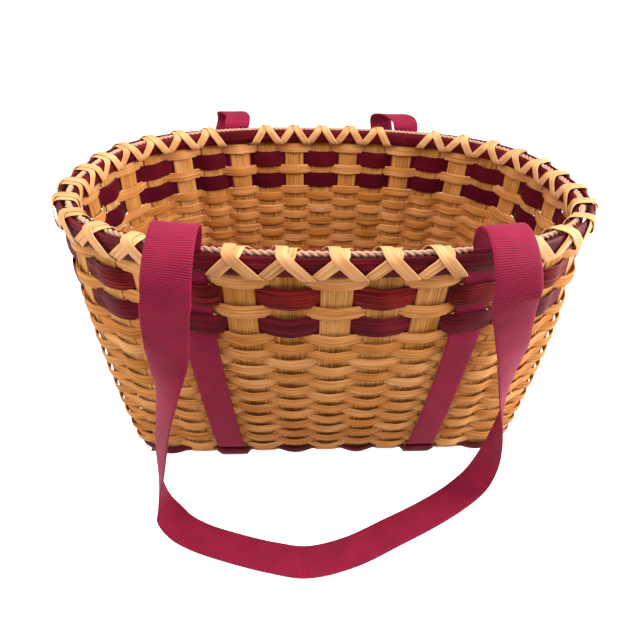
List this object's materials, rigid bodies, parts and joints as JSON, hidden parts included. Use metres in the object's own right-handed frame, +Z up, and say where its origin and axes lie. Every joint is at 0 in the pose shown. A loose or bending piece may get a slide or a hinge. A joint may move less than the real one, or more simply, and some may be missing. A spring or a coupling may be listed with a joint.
{
  "type": "splint basket",
  "caption": "Oval tote basket woven from flat reed splints, with dyed bands, a lashed rim, and webbing carry handles that swing up from straps round the wall.",
  "frame": {"origin": "on the floor under the middle of the base", "axes": "+Z up, +X along the basket's length to its right end, -Y towards the front"},
  "size_m": [0.4436, 0.4952, 0.2628],
  "materials": {
    "natural_reed": "matte, dry split reed",
    "pale_reed": "matte, pale cane strip",
    "dyed_reed": "satin, dyed split reed",
    "seagrass": "matte twisted grass cord",
    "webbing": "matte cotton webbing"
  },
  "bodies": {
    "basket": {"cross_stake_01": "natural_reed", "cross_stake_02": "natural_reed", "cross_stake_03": "natural_reed", "cross_stake_04": "natural_reed", "cross_stake_05": "natural_reed", "cross_stake_06": "natural_reed", "cross_stake_07": "natural_reed", "cross_stake_08": "natural_reed", "cross_stake_09": "natural_reed", "cross_stake_10": "natural_reed", "cross_stake_11": "natural_reed", "long_stake_01": "natural_reed", "long_stake_02": "natural_reed", "long_stake_03": "natural_reed", "long_stake_04": "natural_reed", "long_stake_05": "natural_reed", "long_stake_06": "natural_reed", "long_stake_07": "natural_reed", "dyed_row_bottom": "dyed_reed", "natural_row_01": "natural_reed", "natural_row_02": "natural_reed", "natural_row_03": "natural_reed", "natural_row_04": "natural_reed", "natural_row_05": "natural_reed", "natural_row_06": "natural_reed", "natural_row_07": "natural_reed", "natural_row_08": "natural_reed", "natural_row_09": "natural_reed", "natural_row_10": "natural_reed", "natural_row_11": "natural_reed", "natural_row_12": "natural_reed", "natural_row_13": "natural_reed", "natural_row_14": "natural_reed", "natural_row_15": "natural_reed", "natural_row_16": "natural_reed", "natural_row_17": "natural_reed", "natural_row_18": "natural_reed", "natural_row_19": "natural_reed", "dyed_row_lower": "dyed_reed", "natural_row_between_dyed": "natural_reed", "dyed_row_upper": "dyed_reed", "natural_row_top": "natural_reed", "outer_rim_band": "dyed_reed", "inner_rim_band": "dyed_reed", "rim_filler_cord": "seagrass", "lashing_right": "pale_reed", "lashing_back": "pale_reed", "lashing_left": "pale_reed", "lashing_front": "pale_reed", "strap_left": "webbing", "strap_right": "webbing", "strap_bend_front_left": "webbing", "strap_bend_front_right": "webbing", "strap_bend_back_left": "webbing", "strap_bend_back_right": "webbing"},
    "front_handle": {"front_handle": "webbing"},
    "back_handle": {"back_handle": "webbing"}
  },
  "joints": [
    {"name": "front_handle_swing", "type": "hinge", "parent": "basket", "child": "front_handle", "pos_m": [0, -0.162, 0.26], "axis": [-1, 0, 0], "range_deg": [0, 170], "deforming": ["strap_bend_front_left", "strap_bend_front_right"]},
    {"name": "back_handle_swing", "type": "hinge", "parent": "basket", "child": "back_handle", "pos_m": [0, 0.162, 0.255], "axis": [1, 0, 0], "range_deg": [0, 170], "deforming": ["strap_bend_back_left", "strap_bend_back_right"]}
  ]
}
